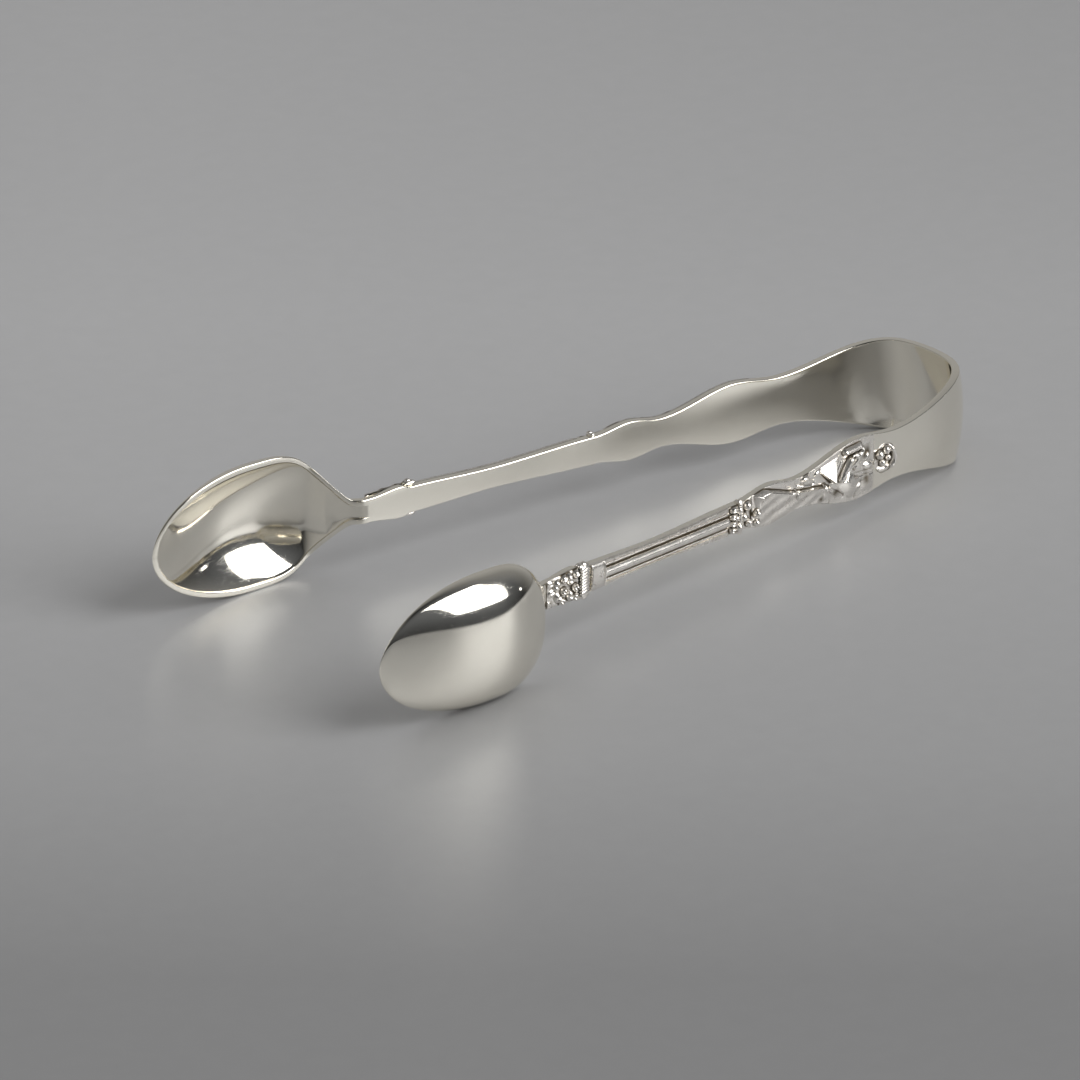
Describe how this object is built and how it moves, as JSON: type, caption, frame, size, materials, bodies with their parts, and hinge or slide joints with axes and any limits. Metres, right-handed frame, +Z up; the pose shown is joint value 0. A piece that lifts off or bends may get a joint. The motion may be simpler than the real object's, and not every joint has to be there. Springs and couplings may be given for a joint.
{
  "type": "sugar tongs",
  "caption": "Silver sugar tongs: a dished spring bow, two slender arms with leaf, scroll and reeded ornament, and egg-shaped spoon bowls that close when the arms are squeezed.",
  "frame": {"origin": "centre of the bounding box on the floor the tongs lie on", "axes": "+X from the bowl tips to the crown of the bow, +Y across the arms to the left arm, +Z up"},
  "size_m": [0.146, 0.0668, 0.0223],
  "materials": {
    "plain_silver": "polished silver with fine wear scratches",
    "chased_silver": "cast and chased silver, bright on the heights and darker in the hollows"
  },
  "bodies": {
    "bow": {"spring_bow": "plain_silver"},
    "left_arm": {"left_blade": "plain_silver", "left_bowl": "plain_silver", "left_crest": "chased_silver", "left_cartouche": "chased_silver", "left_acanthus": "chased_silver", "left_upper_collar": "chased_silver", "left_shaft_reed": "chased_silver", "left_rope_ring": "chased_silver", "left_calyx": "chased_silver"},
    "right_arm": {"right_blade": "plain_silver", "right_bowl": "plain_silver", "right_crest": "chased_silver", "right_cartouche": "chased_silver", "right_acanthus": "chased_silver", "right_upper_collar": "chased_silver", "right_shaft_reed": "chased_silver", "right_rope_ring": "chased_silver", "right_calyx": "chased_silver"}
  },
  "joints": [
    {"name": "left_arm_flex", "type": "hinge", "parent": "bow", "child": "left_arm", "pos_m": [0.06438, 0.00942, 0.00837], "axis": [0.0241, 0, 0.9997], "range_deg": [0, 11.5], "stiffness_Nm_per_rad": 3, "deforming": ["spring_bow"]},
    {"name": "right_arm_flex", "type": "hinge", "parent": "bow", "child": "right_arm", "pos_m": [0.06438, -0.00942, 0.00837], "axis": [0.0241, 0, 0.9997], "range_deg": [-11.5, 0], "stiffness_Nm_per_rad": 3, "deforming": ["spring_bow"]}
  ],
  "couplings": [
    {"joint": "right_arm_flex", "follows": "left_arm_flex", "ratio": -1}
  ]
}
